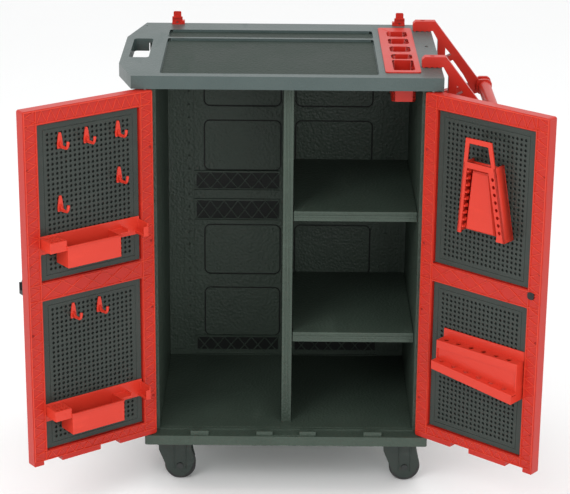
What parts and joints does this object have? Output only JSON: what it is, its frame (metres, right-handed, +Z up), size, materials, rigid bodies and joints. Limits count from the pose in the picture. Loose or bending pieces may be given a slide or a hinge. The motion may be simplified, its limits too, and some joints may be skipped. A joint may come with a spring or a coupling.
{
  "type": "mobile tool cabinet cart",
  "caption": "Moulded plastic cabinet cart with swinging pegboard doors, shelves, worktop with parts organizer, push handle and swivel casters.",
  "frame": {"origin": "on the floor, under the middle of the overall outline with the doors standing open as modelled", "axes": "+X to the right as seen from the front, +Y from the doors to the back panel, +Z up"},
  "size_m": [1.1034, 0.7051, 0.989],
  "materials": {
    "grey_body": "fine grained grey-green moulded plastic",
    "grey_top": "fine grained grey-green moulded plastic, slightly lighter",
    "grey_pegboard": "matt grey-green moulded plastic",
    "red_plastic": "satin red moulded plastic",
    "black_plastic": "matt black moulded plastic",
    "zinc_steel": "zinc plated",
    "wheel_tread": "matt black"
  },
  "bodies": {
    "cabinet": {"base_platform": "grey_body", "side_panel_left": "grey_body", "side_panel_right": "grey_body", "back_panel": "grey_body", "divider_panel": "grey_body", "upper_shelf": "grey_body", "lower_shelf": "grey_body", "shelf_pegs": "black_plastic", "worktop": "grey_top", "parts_organizer": "red_plastic", "handle_bracket_front": "red_plastic", "handle_bracket_rear": "red_plastic", "handle_grip": "red_plastic", "handle_screws": "zinc_steel", "rear_clip_left": "red_plastic", "rear_clip_right": "red_plastic", "caster_plates": "zinc_steel", "caster_plate_screws": "zinc_steel", "kingpins": "zinc_steel", "hinge_pins": "zinc_steel", "body_screws": "zinc_steel"},
    "left_door": {"left_door_frame": "red_plastic", "left_upper_pegboard": "grey_pegboard", "left_lower_pegboard": "grey_pegboard", "left_door_hooks": "red_plastic", "left_upper_tray": "red_plastic", "left_lower_tray": "red_plastic", "left_door_keeper": "black_plastic", "left_door_screws": "zinc_steel"},
    "right_door": {"right_door_frame": "red_plastic", "right_upper_pegboard": "grey_pegboard", "right_lower_pegboard": "grey_pegboard", "wrench_rack": "red_plastic", "driver_rack": "red_plastic", "right_door_screws": "zinc_steel"},
    "turn_latch": {"turn_latch": "black_plastic"},
    "swivel_front_left": {"fork_front_left": "black_plastic", "axle_front_left": "zinc_steel"},
    "wheel_front_left": {"wheel_front_left": "wheel_tread"},
    "swivel_front_right": {"fork_front_right": "black_plastic", "axle_front_right": "zinc_steel"},
    "wheel_front_right": {"wheel_front_right": "wheel_tread"},
    "swivel_rear_left": {"fork_rear_left": "black_plastic", "axle_rear_left": "zinc_steel"},
    "wheel_rear_left": {"wheel_rear_left": "wheel_tread"},
    "swivel_rear_right": {"fork_rear_right": "black_plastic", "axle_rear_right": "zinc_steel"},
    "wheel_rear_right": {"wheel_rear_right": "wheel_tread"}
  },
  "joints": [
    {"name": "left_door_hinge", "type": "hinge", "parent": "cabinet", "child": "left_door", "pos_m": [-0.293, -0.137, 0.5], "axis": [0, 0, 1], "range_deg": [-32, 143]},
    {"name": "right_door_hinge", "type": "hinge", "parent": "cabinet", "child": "right_door", "pos_m": [0.315, -0.137, 0.5], "axis": [0, 0, 1], "range_deg": [-139, 36]},
    {"name": "latch_turn", "type": "hinge", "parent": "right_door", "child": "turn_latch", "pos_m": [0.52622, -0.31929, 0.5435], "axis": [0.6561, 0.7547, 0], "range_deg": [0, 90]},
    {"name": "swivel_front_left", "type": "hinge", "parent": "cabinet", "child": "swivel_front_left", "pos_m": [-0.244, -0.074, 0.09], "axis": [0, 0, 1], "continuous": true},
    {"name": "spin_front_left", "type": "hinge", "parent": "swivel_front_left", "child": "wheel_front_left", "pos_m": [-0.229, -0.074, 0.035], "axis": [0, 1, 0], "continuous": true},
    {"name": "swivel_front_right", "type": "hinge", "parent": "cabinet", "child": "swivel_front_right", "pos_m": [0.266, -0.074, 0.09], "axis": [0, 0, 1], "continuous": true},
    {"name": "spin_front_right", "type": "hinge", "parent": "swivel_front_right", "child": "wheel_front_right", "pos_m": [0.281, -0.074, 0.035], "axis": [0, 1, 0], "continuous": true},
    {"name": "swivel_rear_left", "type": "hinge", "parent": "cabinet", "child": "swivel_rear_left", "pos_m": [-0.244, 0.283, 0.09], "axis": [0, 0, 1], "continuous": true},
    {"name": "spin_rear_left", "type": "hinge", "parent": "swivel_rear_left", "child": "wheel_rear_left", "pos_m": [-0.229, 0.283, 0.035], "axis": [0, 1, 0], "continuous": true},
    {"name": "swivel_rear_right", "type": "hinge", "parent": "cabinet", "child": "swivel_rear_right", "pos_m": [0.266, 0.283, 0.09], "axis": [0, 0, 1], "continuous": true},
    {"name": "spin_rear_right", "type": "hinge", "parent": "swivel_rear_right", "child": "wheel_rear_right", "pos_m": [0.281, 0.283, 0.035], "axis": [0, 1, 0], "continuous": true}
  ]
}
